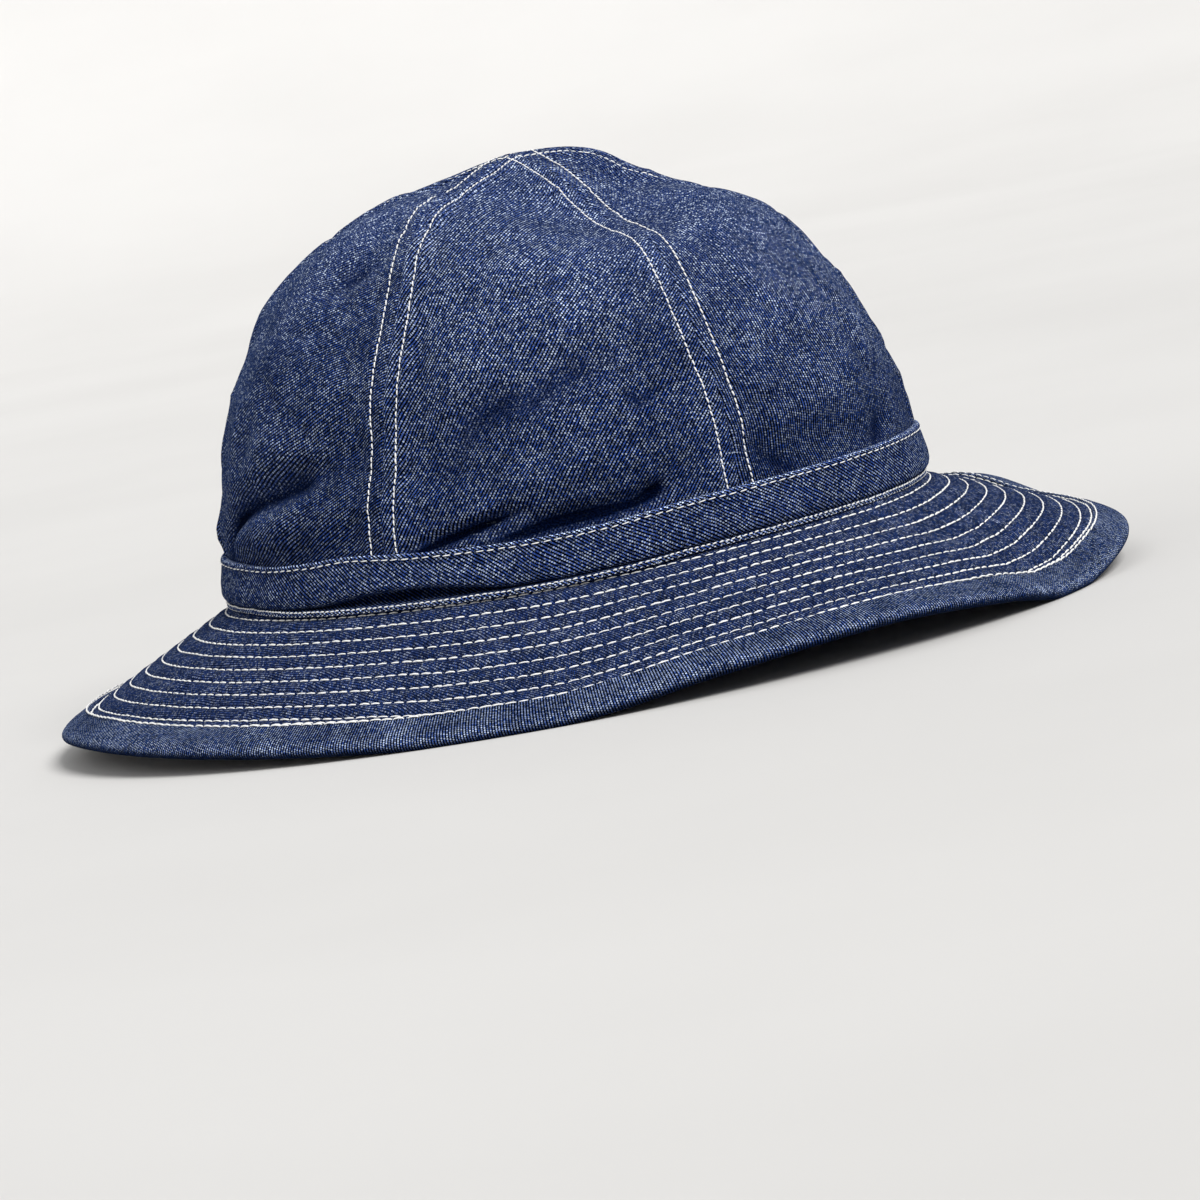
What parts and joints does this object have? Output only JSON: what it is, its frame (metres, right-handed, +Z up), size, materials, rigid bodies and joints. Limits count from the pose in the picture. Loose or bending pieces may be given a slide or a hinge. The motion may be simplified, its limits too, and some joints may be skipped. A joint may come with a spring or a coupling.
{
  "type": "denim hat",
  "caption": "Soft denim sun hat: a domed crown of sewn gores, a narrow hat band and a wide drooping brim quilted with rows of stitching and bound at its edge.",
  "frame": {"origin": "on the floor under the middle of the hat's outline, as it rests on the edge of its brim", "axes": "+Z up through the crown; the front of the hat points along -Y, so +X is the wearer's left and +Y the back"},
  "size_m": [0.2766, 0.3088, 0.1438],
  "materials": {
    "crown_denim": "matte indigo twill with white weft flecks",
    "band_denim": "matte indigo twill with white weft flecks",
    "brim_denim": "matte indigo twill, quilted with off-white thread",
    "binding_denim": "matte indigo twill, a little lighter where it is folded"
  },
  "bodies": {
    "root": {"crown_panel_1": "crown_denim", "crown_panel_2": "crown_denim", "crown_panel_3": "crown_denim", "crown_panel_4": "crown_denim", "crown_panel_5": "crown_denim", "crown_panel_6": "crown_denim", "crown_band": "band_denim", "brim_upper": "brim_denim", "brim_under": "brim_denim", "brim_binding": "binding_denim"}
  },
  "joints": []
}
